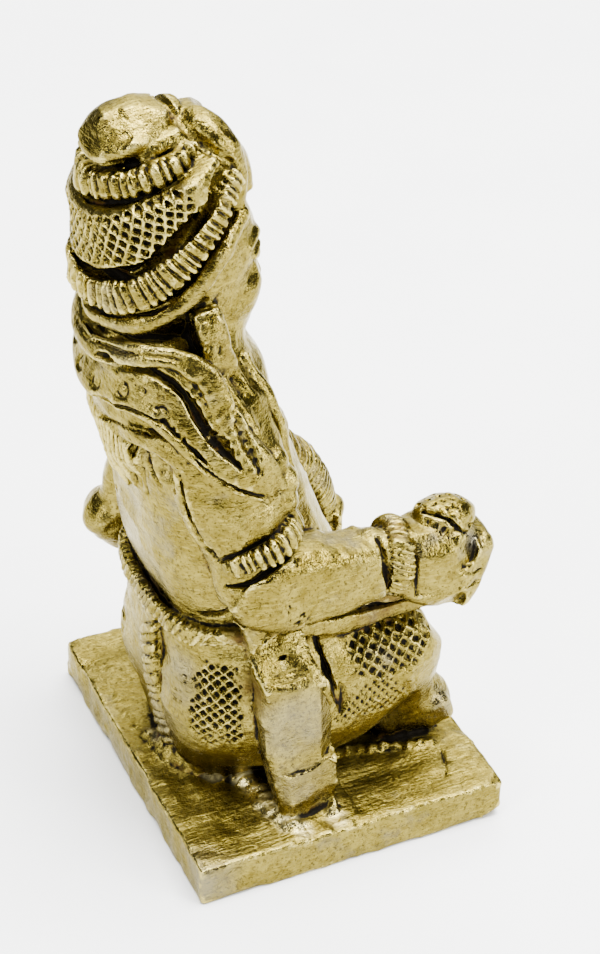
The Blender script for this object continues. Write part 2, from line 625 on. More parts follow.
def shawl():
    clay.add(clay.egg((0, 8, 37.4), (8.2, 6.2, 5.4)), 0.4)
    for fold in SHAWL_FOLDS:
        far = [((-p[0],) + p[1:], wide, high) for p, wide, high in fold[::-1]]
        clay.add(clay.bar(far + fold, over_shoulders, 60, 4), 0.1)
    for side in (RIGHT, LEFT):
        for n in (0, 1, 2):
            clay.add(clay.bar([
                ((side * (4.6 + 1.1 * n), 4.9 + 1.3 * n, 41.2), 0.5, 0.55),
                ((side * (6.0 + 1.1 * n), 3.3 + 1.2 * n, 37.0), 0.6, 0.65),
                ((side * (7.2 + 1.0 * n), 2.4 + 0.9 * n, 32.0), 0.45, 0.55),
            ], facing((side * 0.7, -0.7, 0)), 14), 0.12)


def frill(side):
    """The sleeve's gathered edge in front of the arm: soft lumps with holes between them."""
    for y, z, size in ((4.2, 34.9, 0.85), (3.6, 33.2, 0.95), (3.5, 31.4, 0.85)):
        clay.add(clay.egg((side * (8.9 + 0.06 * (37 - z)), y, z), (size * 1.1, size * 0.95, size * 1.15)), 0.5)


shawl()
for side in (RIGHT, LEFT):
    frill(side)
STRANDS = 7
STRAND_PITCH = 0.62
for n in range(-STRANDS, STRANDS + 1):
    x = STRAND_PITCH * n
    drop = 30.0 + 0.06 * n * n + 0.5 * (n % 2)
    clay.add(clay.bar([
        ((x, 13.75 - 0.022 * x * x, 35.8), 0.3, 0.5),
        ((x, 13.35 - 0.03 * x * x, (35.6 + drop) / 2), 0.3, 0.55),
        ((x, 12.5 - 0.035 * x * x, drop), 0.16, 0.3),
    ], facing((0, 1, 0)), 8), 0.05)

# Head and face: plain and calm, on ordinary proportions

HEAD = dict(centre=(0, 8.3, 48), radii=(4.9, 6, 7))


def head(centre, radii):
    half, depth, tall = radii
    front = centre[1] - depth
    eyes = centre[2]
    chin = eyes - tall * 0.95
    nose = eyes - (eyes - chin) * 0.48
    mouth = eyes - (eyes - chin) * 0.7
    clay.add(clay.egg(centre, radii), 0.3)
    clay.add(clay.egg((0, centre[1] - 1, nose - 0.3), (half * 0.8, depth * 0.9, tall * 0.56)), 1.2)
    clay.add(clay.bar([((0, 8.6, 37.5), 4, 4), ((0, 8.4, 44), 3.6, 3.8)], facing((0, 1, 0)), 6), 0.8)
    for side in (RIGHT, LEFT):
        clay.add(clay.egg((side * 2.1, front + 1.9, nose + 0.5), (1.5, 1.3, 1.5)), 1.0)
    clay.add(clay.egg((0, front + 1.5, chin + 1.0), (1.5, 1.1, 1.0)), 0.8)
    for side in (RIGHT, LEFT):
        clay.cut(clay.egg((side * 1.8, front + 0.55, eyes), (1.35, 0.55, 0.75)), 0.5)
        clay.add(clay.egg((side * 1.8, front + 0.95, eyes), (1.0, 0.6, 0.5)), 0.06)
        for rise, thick in ((0.5, 0.2), (-0.45, 0.13)):
            clay.add(clay.bar([
                ((side * 0.8, front + 0.5, eyes + rise * 0.2), thick * 0.8, thick),
                ((side * 1.8, front + 0.42, eyes + rise), thick, thick),
                ((side * 2.9, front + 1.1, eyes + rise * 0.2), thick * 0.8, thick),
            ], facing((0, -1, 0)), 10), 0.1)
        clay.add(clay.bar([
            ((side * 0.6, front + 0.4, eyes + 1.1), 0.24, 0.28),
            ((side * 1.9, front + 0.6, eyes + 1.55), 0.3, 0.34),
            ((side * 3.3, front + 1.7, eyes + 1.0), 0.2, 0.25),
        ], facing((0, -1, 0.2)), 12), 0.35)
    clay.add(clay.bar([
        ((0, front + 0.7, eyes + 0.7), 0.4, 0.45),
        ((0, front + 0.3, nose + 1.0), 0.5, 0.7),
        ((0, front + 0.15, nose + 0.35), 0.62, 0.7),
    ], facing((0, -1, 0)), 10), 0.35)
    for side in (RIGHT, LEFT):
        clay.add(clay.egg((side * 0.7, front + 0.55, nose + 0.2), (0.42, 0.5, 0.36)), 0.2)
        clay.cut(clay.egg((side * 0.36, front + 0.1, nose - 0.2), (0.17, 0.3, 0.16)), 0.08)
    for rise, thick in ((0.22, 0.26), (-0.26, 0.32)):
        clay.add(clay.bar([
            ((-1.2, front + 0.95, mouth + rise * 0.3), 0.14, 0.2),
            ((0, front + 0.5, mouth + rise), thick, 0.4),
            ((1.2, front + 0.95, mouth + rise * 0.3), 0.14, 0.2),
        ], facing((0, -1, 0)), 12), 0.1)


head(**HEAD)
for side in (RIGHT, LEFT):
    clay.add(clay.bar([
        ((side * 5.2, 8.0, 45.6), 1.1, 1.1),
        ((side * 5.5, 7.7, 43.8), 1.4, 1.3),
        ((side * 5.6, 7.2, 41.6), 1.2, 1.1),
    ], facing((0, -1, 0.1)), 10, 4), 0.15)

# Turban

TURBAN_AXIS_Y = 9.2
round_turban = away_from(0, TURBAN_AXIS_Y)


def in_blocks(pitch, depth, width, joints):
    """Cut lines across a band, deeper at the joints between its blocks."""
    fine = ribs(pitch, depth, width, 0.05)

    def relief(along, across, over):
        out = fine(along, across, over)
        for joint in joints:
            out = out - depth * 1.3 * np.exp(-((along - joint) / (width * 0.7)) ** 2) * (over > -0.1)
        return out
    return relief


def hatched(along, across, over):
    """Upright dashes at the back, then diamond pits, with smooth strips along both edges."""
    dashes = np.clip(np.cos(2 * np.pi * along / 0.5) - 0.1, 0, 1) * np.clip(np.sin(2 * np.pi * across / 1.05) + 0.5, 0, 1)
    pits = diamond_pits(uneven(along, 0.03), across, 0.72, 1.1, 1.0, 0.4)
    mark = np.where(along < 9.4, 0.34 * dashes, 0.46 * pits)
    return -mark * ((across > -1.9) & (across < 1.5) & (over > 0.5) & (along > 3) & (along < 20.5))


BACK_ROLLS = [
    # each band from behind the far side, round the back, along the near side to the brow
    dict(run=[((5.0, 8.6, 47.6), 0.7, 0.6), ((4.2, 12.5, 45.3), 0.75, 0.7), ((0, 14.1, 44.9), 0.8, 0.75),
              ((-4.2, 12.5, 45.6), 0.8, 0.75), ((-5.3, 9.4, 47.4), 0.75, 0.7), ((-5.4, 6.9, 50.3), 0.7, 0.6),
              ((-3.9, 4.6, 52.3), 0.6, 0.5)], power=2, relief=None),
    dict(run=[((4.4, 5.6, 54.3), 0.8, 0.7), ((5.6, 8.7, 51.6), 1.2, 0.95), ((4.5, 12.8, 48.2), 1.3, 1.0),
              ((0.4, 14.8, 47.6), 1.35, 1.0), ((-3.0, 13.8, 47.6), 1.3, 1.0), ((-4.7, 12.6, 48.4), 1.25, 1.0),
              ((-5.4, 11.0, 49.6), 1.2, 0.95), ((-5.7, 9.5, 51.2), 1.15, 0.95), ((-5.6, 8.0, 53.0), 1.1, 0.9),
              ((-5.0, 6.5, 54.7), 1.0, 0.8), ((-4.2, 5.2, 55.9), 0.8, 0.6)], power=4,
         relief=in_blocks(0.62, 0.36, 0.3, [13.2, 14.3, 15.2, 16.3, 17.1])),
    dict(run=[((3.4, 6.6, 56.2), 1.1, 1.0), ((4.9, 9.4, 54.0), 1.8, 1.6), ((3.9, 12.3, 51.8), 2.3, 1.75),
              ((0.2, 13.4, 50.9), 2.6, 1.85), ((-3.2, 12.4, 52.2), 2.15, 1.8), ((-4.5, 10.2, 54.1), 1.6, 1.7),
              ((-4.6, 8.4, 55.7), 1.1, 1.4), ((-3.5, 6.6, 57.0), 0.65, 0.9)], power=4, relief=hatched),
    dict(run=[((2.6, 7.9, 57.9), 0.7, 0.6), ((4.0, 10.0, 56.8), 0.9, 0.8), ((3.4, 12.6, 55.2), 1.05, 0.9),
              ((0.6, 14.0, 54.8), 1.1, 0.95), ((-2.0, 13.3, 55.4), 1.0, 0.9), ((-3.7, 11.8, 56.2), 0.9, 0.85),
              ((-4.1, 9.8, 57.1), 0.75, 0.8), ((-3.2, 8.1, 57.7), 0.55, 0.6)], power=4,
         relief=in_blocks(0.7, 0.36, 0.3, [8.4, 10.4])),
]


def turban():
    clay.add(clay.egg((0, 8.9, 51.6), (4.4, 4.7, 6.4), (-14, 0, 0)), 0.3)
    for roll in BACK_ROLLS:
        clay.add(clay.bar(roll["run"], round_turban, 72, roll["power"], False, roll["relief"]), 0.1)


def knot_and_crest():
    # the knot: an egg with filed flats, over a dark hollow
    clay.cut(clay.bar([((2.2, 13.4, 56.6), 0.8, 0.3), ((-0.4, 13.9, 56.7), 1.2, 0.6), ((-2.6, 12.4, 57.2), 0.9, 0.5),
                       ((-3.0, 10.6, 58.0), 0.5, 0.3)], facing((0, 0.3, 1)), 20), 0.1)
    clay.add(clay.bar([
        ((-0.3, 13.7, 57.6), 1.9, 1.4), ((-0.2, 11.8, 58.3), 2.8, 1.9), ((0.0, 9.7, 58.8), 2.2, 1.35),
        ((0.2, 8.0, 59.0), 1.2, 0.8),
    ], facing((0, 0, 1)), 20), 0.12)
    clay.facet((-0.8, 14.1, 58.3), (-0.2, 0.9, 0.35), 2.0)
    clay.facet((-1.5, 13.0, 58.9), (-0.6, 0.4, 0.7), 1.6)
    clay.facet((-1.6, 11.0, 59.6), (-0.62, 0.05, 0.78), 2.0)
    clay.add(clay.bar([((-2.5, 11.2, 57.5), 0.7, 0.6), ((-2.5, 9.6, 58.0), 0.8, 0.7), ((-2.1, 8.0, 58.3), 0.7, 0.6)],
                      facing((-0.8, 0, 0.6)), 10), 0.15)
    # the crest: a tall flat front, its rim arching over from side to side
    clay.add(clay.bar([
        ((-0.5, 8.2, 58.0), 2.4, 1.0), ((-0.5, 6.4, 57.4), 2.5, 1.0), ((-0.5, 4.9, 55.9), 2.7, 1.1),
        ((-0.4, 4.0, 53.5), 2.5, 0.9),
    ], facing((0, -1, 0.8)), 16, 4), 0.15)
    clay.add(clay.bar([
        ((-3.6, 5.0, 53.0), 0.6, 0.6), ((-3.3, 5.0, 55.2), 0.9, 0.8), ((-2.9, 5.7, 57.3), 1.1, 0.95),
        ((-1.6, 6.7, 58.5), 1.15, 0.95), ((0.4, 7.1, 58.3), 1.1, 0.9), ((2.2, 6.0, 57.3), 1.0, 0.85),
        ((3.1, 5.2, 56.0), 0.95, 0.8), ((3.4, 5.0, 53.4), 0.6, 0.6),
    ], away_from(0, 8.5, 1.0, 52), 36, 2), 0.12)
    clay.groove([(1.8, 8.9, 59.3), (-0.6, 8.9, 59.6), (-2.4, 8.1, 58.9), (-3.6, 7.2, 57.9), (-4.3, 6.0, 56.4),
                 (-4.3, 5.0, 54.8)], 1.0, 0.5, 30)
    for n in (-1, 1):
        clay.groove([(n * 0.9 - 0.4, 5.1, 57.8), (n * 1.2 - 0.4, 3.7, 55.8), (n * 1.1 - 0.4, 3.0, 53.6)], 0.4, 0.35, 12)


turban()
knot_and_crest()

# Plate

PLATE = dict(width=30, depth=25.5, thickness=3.5)
TOP = PLATE["thickness"]


def plate(width, depth, thickness):
    clay.add(clay.box((-width / 2, -depth / 2, 0), (width / 2, depth / 2, thickness), 0.28), 0.9)
    # a corner that was chipped low, and a sagging edge
    clay.facet((-15.0, -12.6, 0.9), (-0.5, -0.3, -0.8), 1.6)
    clay.facet((-13.9, -12.9, 0.55), (0, -0.3, -1), 2.4)
    # metal that ran out along the figure's foot, and a thin flash beside the knee
    rough = lambda along, across, over: 0.16 * np.sin(4.1 * along + 2 * across) * np.sin(2.2 * along + 1.3)
    clay.add(clay.bar([
        ((1.0, 10.7, TOP + 0.2), 0.5, 0.4), ((-2.7, 9.4, TOP + 0.3), 0.9, 0.7), ((-4.8, 7.6, TOP + 0.3), 0.9, 0.7),
        ((-6.3, 5.8, TOP + 0.2), 0.9, 0.6), ((-8.6, 5.3, TOP + 0.1), 0.8, 0.45), ((-11.0, 5.2, TOP + 0.05), 0.7, 0.4),
        ((-13.6, 4.5, TOP), 0.5, 0.3),
    ], facing((0, 0, 1)), 40, 2, relief=rough), 0.4)
    clay.add(clay.bar([
        ((-7.0, -1.6, TOP), 0.35, 0.25), ((-7.4, -4.8, TOP + 0.05), 0.45, 0.35), ((-8.2, -7.1, TOP + 0.05), 0.4, 0.3),
        ((-8.9, -9.6, TOP), 0.3, 0.2),
    ], facing((0, 0, 1)), 20, 2, relief=rough), 0.3)
    # shallow hollows left by the casting, and a crack curling in from the edge
    for place, size in (((-10.6, 8.3), (3.2, 1.6)), ((-6.0, 10.6), (3.4, 1.0)), ((-10.2, -4.6), (1.1, 3.6)),
                        ((5.0, 12.0), (5.0, 0.8)), ((12.4, 4.0), (1.6, 5.0)), ((4.0, -11.6), (6.0, 0.8))):
        clay.cut(clay.egg((place[0], place[1], TOP + 0.5), (size[0], size[1], 0.64)), 0.3)
    clay.groove([(-9.0, -10.0, TOP), (-10.4, -9.7, TOP), (-11.6, -9.4, TOP), (-12.7, -8.8, TOP)], 0.3, 0.2, 14)
    # dents along the edges
    rng = np.random.default_rng(5)
    for _ in range(34):
        along = rng.uniform(-1, 1)
        edge = rng.integers(0, 4)
        x, y = ((along * 15, 12.75), (along * 15, -12.75), (15, along * 12.75), (-15, along * 12.75))[edge]
        size = rng.uniform(0.25, 0.55)
        clay.cut(clay.egg((x, y, TOP + 0.25 * size), (size * rng.uniform(1, 2.2), size * rng.uniform(1, 2.2), size * 0.7),
                          (0, 0, rng.uniform(0, 90))), 0.12)


plate(**PLATE)

# Marks cut and pressed into the surface

def cut_lines(lines, steps=30):
    for points, width, depth in lines:
        clay.groove(points, width, depth, steps)


def marks_on_turban():
    cut_lines((
        # the deep gap under the hatched band, then the ones under the wide band, the small roll and the knot
        ([(1.5, 14.6, 48.3), (-1.0, 14.9, 48.7), (-2.4, 14.0, 48.8), (-3.6, 13.4, 49.2), (-4.6, 12.6, 49.8),
          (-5.1, 11.6, 50.7), (-5.5, 10.7, 51.5), (-5.7, 9.6, 52.6), (-5.7, 8.7, 53.6), (-5.8, 7.9, 54.8),
          (-5.4, 7.2, 55.8), (-4.8, 6.4, 56.5)], 1.15, 1.1),
        ([(0.4, 14.8, 45.1), (-1.4, 14.5, 45.5), (-3.3, 13.4, 46.0), (-4.9, 12.1, 46.7), (-5.4, 10.7, 47.3)], 0.5, 0.6),
        ([(1.5, 14.8, 53.3), (-1.3, 14.0, 53.8), (-2.5, 12.8, 54.2), (-3.9, 12.0, 55.2), (-4.2, 10.1, 56.1),
          (-4.5, 9.0, 56.8)], 0.35, 0.4),
        ([(-0.6, 14.3, 56.7), (-1.9, 13.7, 56.8), (-2.7, 12.9, 57.0), (-3.1, 12.2, 57.2)], 0.6, 0.9),
    ))


def marks_on_shawl():
    cut_lines((
        # under the turban, then between the folds
        ([(1.0, 14.6, 43.2), (-1.2, 14.2, 43.4), (-2.3, 13.4, 43.6), (-4.0, 12.8, 44.0), (-5.2, 11.9, 44.2),
          (-5.9, 10.8, 44.2)], 0.85, 0.9),
        ([(-2.1, 15.1, 42.5), (-3.3, 14.7, 42.6), (-4.0, 14.1, 42.4), (-4.8, 13.4, 42.6), (-5.8, 12.7, 42.7),
          (-6.6, 11.9, 42.4), (-7.4, 11.0, 41.8), (-8.2, 10.4, 40.7), (-9.0, 9.7, 39.1), (-9.8, 8.7, 37.5),
          (-10.4, 7.5, 35.9)], 0.75, 0.85),
        ([(-1.3, 15.0, 38.5), (-3.7, 14.6, 39.2), (-5.3, 14.0, 39.5), (-6.6, 13.3, 39.7), (-7.9, 12.1, 39.2),
          (-9.0, 11.1, 38.1), (-9.8, 9.9, 36.7), (-10.0, 9.5, 36.2)], 0.38, 0.45),
        ([(0.6, 14.2, 35.4), (-1.8, 14.0, 36.5), (-4.0, 13.7, 37.2), (-5.7, 13.0, 37.6), (-6.7, 12.5, 37.6)], 0.3, 0.4),
        ([(1.8, 14.9, 42.9), (-0.6, 15.0, 43.1), (-1.9, 14.7, 43.3), (-3.2, 14.3, 43.5), (-4.4, 13.8, 43.7),
          (-5.7, 12.7, 43.9), (-6.5, 11.5, 43.9), (-7.2, 10.5, 43.7)], 0.28, 0.3),
        ([(-7.8, 8.7, 41.4), (-8.4, 8.0, 40.0), (-9.2, 7.2, 38.3), (-10.0, 6.5, 36.6), (-10.5, 6.2, 35.2)], 0.5, 0.5),
        ([(-9.2, 10.8, 37.3), (-9.8, 10.0, 36.2), (-10.1, 9.2, 35.3), (-10.6, 8.3, 34.7), (-10.8, 7.2, 34.0),
          (-10.7, 5.9, 33.3)], 0.45, 0.55),
        # the crease between the upper arm and the back
        ([(-8.5, 11.5, 35.6), (-8.8, 11.4, 34.4), (-9.1, 11.3, 33.1), (-9.2, 10.9, 31.6), (-9.2, 10.3, 29.9),
          (-9.7, 9.6, 28.8), (-10.0, 9.2, 28.2)], 0.42, 0.5),
    ))
    for x, y, z, turn in ((1.4, 14.8, 39.6, 0.5), (-1.4, 14.9, 39.8, 1.6), (-4.4, 13.9, 40.6, 2.6), (-7.2, 12.1, 40.0, 4.0),
                          (3.8, 14.2, 40.4, 1.0), (7.0, 12.2, 40.0, 2.0)):
        clay.patch((x, y, z), (-1, 0, 0.1), (0.9, 0.9), lambda u, v: stamped_ring(u, v, 0.5, 0.26, 0.15, turn))
    # scallops punched along the wide fold
    for n in range(9):
        share = n / 8
        place = between((-5.0, 13.2, 41.6), (-9.6, 8.9, 36.9), share)
        clay.patch(place, (-1, -0.6, -0.6), (0.5, 0.5), lambda u, v: stamped_ring(u, v - 0.1, 0.3, 0.16, 0.12, -1.6))
    # hammer marks across the strap in front
    for n in range(12):
        share = n / 11
        place = between((-8.0, 9.7, 42.2), (-10.5, 6.0, 34.6), share)
        clay.patch(place, (-0.5, -0.5, -0.8), (0.5, 0.9), lambda u, v: 0.1 * np.exp(-((u + 0.15 * v) / 0.16) ** 2))
    # the hollow behind the arm under the shawl
    for side in (RIGHT, LEFT):
        clay.facet((side * 5.2, 12.7, 34.9), (side * 0.35, 0.85, 0.4), 1.5)
        clay.cut(clay.egg((side * 6.9, 12.2, 34.3), (1.5, 1.3, 1.5), (0, side * 30, side * -35)), 0.1)
        clay.groove([(side * 5.0, 12.9, 35.6), (side * 5.2, 12.5, 33.6), (side * 5.9, 12.2, 32.6)], 0.4, 0.4, 12)
        for n in range(3):
            clay.groove([(side * 10.6, 7.0 - 1.1 * n, 32.6 + 0.2 * n), (side * 11.2, 6.0 - 1.1 * n, 31.8 + 0.3 * n)],
                        0.25, 0.22, 6)
        for y, z in ((3.3, 36.2), (2.6, 33.4), (2.5, 31.0)):
            clay.cut(clay.egg((side * (9.4 + 0.05 * (36 - z)), y, z), (0.55, 0.5, 0.6)), 0.1)
        clay.patch((side * 5.2, 8.0, 45.8), (0, 1, 0), (1.6, 1.2),
                   lambda u, v: 0.14 * np.clip(np.cos(2 * np.pi * v / 0.5), 0, 1) * (v > -0.9))
        clay.patch((side * 6.3, 8.0, 43.7), (0, 1, 0.2), (0.9, 0.9), lambda u, v: stamped_ring(u, v, 0.5, 0.2, 0.15, 1.4))


def marks_on_hair():
    strands = lambda u, v: 0.42 * np.clip(1.2 - 4.2 * np.abs((u / STRAND_PITCH) % 1 - 0.5), 0, 1)
    clay.patch((0, 13.6, 33.6), (1, 0, 0), (4.8, 2.9), strands, 2.4)


def marks_on_arm():
    cut_lines((
        # over and under the armband, then each side of the bracelet
        ([(-9.9, 9.3, 28.0), (-10.7, 8.5, 28.8), (-11.1, 7.7, 29.3), (-11.2, 6.8, 29.7), (-11.1, 5.8, 30.0),
          (-10.8, 4.6, 30.3)], 0.36, 0.5),
        ([(-10.6, 9.0, 26.2), (-11.2, 8.2, 26.4), (-11.5, 7.2, 26.7), (-11.3, 6.0, 26.9), (-11.1, 4.8, 27.2),
          (-10.7, 3.8, 27.6)], 0.5, 0.6),
        ([(-10.6, -3.2, 27.0), (-11.7, -3.3, 26.2), (-12.1, -3.4, 24.5), (-11.8, -3.5, 22.4)], 0.75, 0.8),
        ([(-10.8, -5.9, 26.6), (-11.6, -5.85, 25.5), (-11.8, -5.9, 23.5), (-11.7, -5.9, 22.0)], 0.45, 0.55),
        # under the fruit, round the thumb, and between the fingers
        ([(-9.6, -6.9, 27.8), (-10.4, -8.0, 27.5), (-11.0, -8.9, 27.2), (-11.3, -9.6, 26.2), (-11.1, -10.6, 25.3),
          (-10.6, -11.6, 24.6)], 0.42, 0.5),
        ([(-11.4, -9.3, 26.0), (-11.8, -9.5, 25.0), (-11.9, -10.1, 24.3), (-11.6, -11.0, 23.9)], 0.3, 0.35),
        ([(-11.9, -9.6, 22.9), (-11.9, -10.4, 22.6), (-11.5, -11.4, 22.4)], 0.3, 0.35),
        ([(-11.9, -9.3, 21.6), (-11.8, -10.4, 21.3), (-11.3, -11.4, 21.2)], 0.3, 0.35),
        # the crack in the forearm
        ([(-12.2, 4.4, 22.6), (-12.3, 4.5, 23.6), (-12.3, 4.3, 24.6)], 0.3, 0.4),
    ), 20)
    for place, normal, reach in (((-11.7, -7.4, 25.6), (-0.85, 0.05, 0.55), 1.8), ((-12.1, -7.6, 23.6), (-1, 0.1, 0), 2.2),
                                 ((-10.9, -7.0, 26.9), (-0.4, 0.2, 1), 1.6), ((-11.8, -9.6, 24.6), (-0.9, -0.45, 0.1), 1.5),
                                 ((-11.5, -10.6, 25.3), (-0.6, -0.6, 0.55), 1.2), ((-11.9, -8.4, 20.6), (-0.8, -0.1, -0.5), 1.8)):
        clay.facet(place, normal, reach)
    # the forearm's filed sides
    clay.facet((-12.15, 1.5, 24.4), (-1, 0.03, 0.02), 3.2)
    clay.facet((-12.15, -1.2, 24.6), (-1, -0.03, 0.02), 2.6)
    clay.facet((-11.5, 0.9, 27.0), (-0.6, -0.12, 1), 3.0)
    # the fruit: punched dots between crossing lines
    clay.patch((-9.6, -9.0, 28.0), (0, 1, 0), (1.9, 1.7),
               lambda u, v: 0.24 * np.clip(np.cos(2 * np.pi * u / 0.8) + np.cos(2 * np.pi * v / 0.8) - 0.75, 0, 1), 1.6)
    clay.patch((-10.9, -9.6, 26.6), (0, 1, 0), (1.5, 1.0),
               lambda u, v: 0.24 * np.clip(np.cos(2 * np.pi * u / 0.8) + np.cos(2 * np.pi * v / 0.8) - 0.75, 0, 1))


def marks_on_legs():
    coarse = lambda u, v: 0.3 * diamond_pits(uneven(u, 0.05), v, 1.0, 1.2, 1.0, 0.4)
    fine = lambda u, v: 0.22 * diamond_pits(u, v, 0.72, 0.9, 1.0)
    clay.patch((-9.4, -5.4, 15.2), (0, -1, 0.1), (3.6, 2.2), coarse, 2.2, 0.7)
    clay.patch((-9.9, -3.2, 11.4), (0, -1, 0), (3.6, 1.7), fine, 2.0, 0.7)
    clay.patch((9.9, -2.8, 11.0), (0, -1, 0), (3.9, 1.6), coarse, 2.2)
    for side in (RIGHT, LEFT):
        clay.patch((side * 8.3, 8.7, 13.3), (side * 0.6, -0.8, 0), (2.1, 3.8),
                   lambda u, v: 0.34 * diamond_pits(uneven(v, 0.05), u, 0.9, 0.95, 1.0, 0.4), 2.0, 0.6)
        clay.facet((side * 5.6, 11.0, 17.0), (side * 0.35, 0.75, 0.55), 1.8)
        for z in (15.2, 13.3, 11.5):
            for n in range(3):
                clay.groove([(side * 5.1, 11.0, z - 0.42 * n), (side * 6.4, 10.8, z - 0.42 * n + 0.25)], 0.26, 0.3, 4)
    # slots above and below the belt on the right hip
    clay.groove([(-6.8, 9.4, 21.1), (-8.0, 8.6, 21.1), (-9.2, 7.6, 21.3), (-10.0, 6.8, 21.6)], 0.75, 0.9, 14)
    clay.groove([(-7.2, 10.1, 18.3), (-8.0, 9.2, 18.1), (-8.8, 8.0, 18.0), (-9.5, 6.6, 18.1)], 0.75, 0.9, 14)
    # ledge and crack over the thigh
    clay.groove([(-9.2, 0.6, 19.6), (-9.4, -3.6, 19.0), (-9.2, -7.0, 18.8)], 0.6, 0.6, 18)
    clay.groove([(-8.6, -8.6, 18.4), (-9.0, -9.6, 17.2), (-9.4, -9.8, 16.0)], 0.35, 0.4, 10)


def marks_on_strap():
    clay.groove([(-13.0, 6.5, 16.0), (-13.4, 4.0, 16.0), (-13.0, 1.6, 16.0)], 0.3, 0.3, 10)
    clay.groove([(-13.4, 5.2, 8.4), (-13.6, 3.0, 8.0), (-13.3, 0.8, 8.4)], 0.5, 0.25, 10)
    clay.groove([(-8.9, 0.9, 18.4), (-9.6, 0.2, 15.0), (-10.1, -0.6, 11.6)], 0.6, 0.8, 16)
    rng = np.random.default_rng(11)
    for _ in range(16):
        place = (-12.0, rng.uniform(2.8, 6.8), rng.uniform(18.6, 23.0))
        size = rng.uniform(0.15, 0.34)
        centre = clay.settle([place])[0]
        clay.cut(clay.egg(centre, (size, size * rng.uniform(0.8, 1.6), size * rng.uniform(0.8, 1.8)),
                          (rng.uniform(0, 90), 0, 0)), 0.1)
    for place, normal, reach in (((-11.95, 4.0, 17.1), (-0.78, 0, 0.62), 4.0), ((-12.6, 4.0, 12.6), (-1, 0.08, 0.04), 4.2),
                                 ((-12.25, 1.5, 12.6), (-0.7, -0.7, 0.05), 3.4), ((-12.3, 6.0, 11.8), (-0.75, 0.65, 0), 3.6),
                                 ((-12.95, 3.0, 6.6), (-1, -0.1, -0.06), 2.8), ((-12.6, 5.2, 6.6), (-0.8, 0.6, -0.1), 2.6)):
        clay.facet(place, normal, reach)
    for n in range(6):
        z = 21.0 - 0.62 * n
        lean = 0.3 * (n % 2)
        clay.groove([(-12.6, 6.2, z - lean), (-12.8, 4.3, z - 0.2), (-12.6, 2.3, z - 0.3 + lean)], 0.32, 0.2, 8)


marks_on_turban()
marks_on_shawl()
marks_on_hair()
marks_on_arm()
marks_on_legs()
marks_on_strap()

# The hand of the maker: scraped flats, hammer marks and casting grain

scrapes = np.abs(clay.noise(2.6, 1))
clay.field += 0.17 * (scrapes - 0.55)
scrapes = np.abs(clay.noise(1.1, 2))
clay.field += 0.06 * (scrapes - 0.55)
del scrapes
# nothing passes the plate's underside
clay.field = np.maximum(clay.field, -clay.axes[2][None, None, :] - 0.0)

# Mesh and its marks

def blurred(block, reach):
    """A block averaged over about reach in every direction."""
    cells = max(1, int(round(reach / GRID_STEP)))
    for axis in range(3):
        for _ in range(2):
            total = np.cumsum(block, axis, dtype=np.float32)
            size = block.shape[axis]
            high = np.clip(np.arange(size) + cells, 0, size - 1)
            low = np.clip(np.arange(size) - cells - 1, 0, size - 1)
            block = (np.take(total, high, axis) - np.take(total, low, axis)) / (2 * cells + 1)
    return block


def mesh_of(clay, name):
    grid = openvdb.FloatGrid(FAR)
    grid.copyFromArray(clay.field)
    points, triangles, quads = grid.convertToPolygons(0.0, 0.0)
    points = points * clay.step + clay.low
    mesh = bpy.data.meshes.new(name)
    mesh.from_pydata(points.tolist(), [], quads.tolist() + triangles.tolist())
    mesh.update()
    piece = bpy.data.objects.new(name, mesh)
    bpy.context.scene.collection.objects.link(piece)
    thin = piece.modifiers.new("thin", "DECIMATE")
    thin.ratio = min(1.0, TRIANGLES / (2 * len(quads) + len(triangles)))
    thinned = bpy.data.meshes.new_from_object(piece.evaluated_get(bpy.context.evaluated_depsgraph_get()))
    piece.modifiers.clear()
    piece.data = thinned
    bpy.data.meshes.remove(mesh)
    thinned.name = name
    drop_hollows(thinned)
    return piece


def drop_hollows(mesh):
    """Deletes the small hollows shut inside the metal, which hang together with nothing."""
    shape = bmesh.new()
    shape.from_mesh(mesh)
    seen = set()
    groups = []
    for start in shape.verts:
        if start in seen:
            continue
        seen.add(start)
        group = [start]
        for vert in group:
            for edge in vert.link_edges:
                other = edge.other_vert(vert)
                if other not in seen:
                    seen.add(other)
                    group.append(other)
        groups.append(group)
    largest = max(groups, key=len)
    loose = [vert for group in groups if group is not largest for vert in group]
    bmesh.ops.delete(shape, geom=loose, context="VERTS")
    shape.to_mesh(mesh)
    shape.free()
    mesh.validate()


def mark(mesh, name, values):
    layer = mesh.attributes.new(name, "FLOAT", "POINT")
    layer.data.foreach_set("value", values.astype(np.float32))


piece = mesh_of(clay, "statue_casting")
mesh = piece.data
points = np.empty(len(mesh.vertices) * 3, np.float32)
mesh.vertices.foreach_get("co", points)
points = points.reshape(-1, 3)
filled = np.clip(0.5 - clay.field / clay.step, 0, 1)
for label, reach, gain in (("line", 0.14, 4.5), ("fine", 0.35, 3.6), ("broad", 1.1, 3.2)):
    level = clay.sample(points, blurred(filled, reach)) - 0.5
    mark(mesh, "hollow_" + label, np.clip(level * gain, 0, 1))
    mark(mesh, "ridge_" + label, np.clip(-level * gain, 0, 1))
mesh.transform(Matrix.Scale(0.001, 4))
for polygon in mesh.polygons:
    polygon.use_smooth = True
print("triangles", sum(len(p.vertices) - 2 for p in mesh.polygons))
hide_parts("kubera_statue")
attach(piece, "root")

# Brass

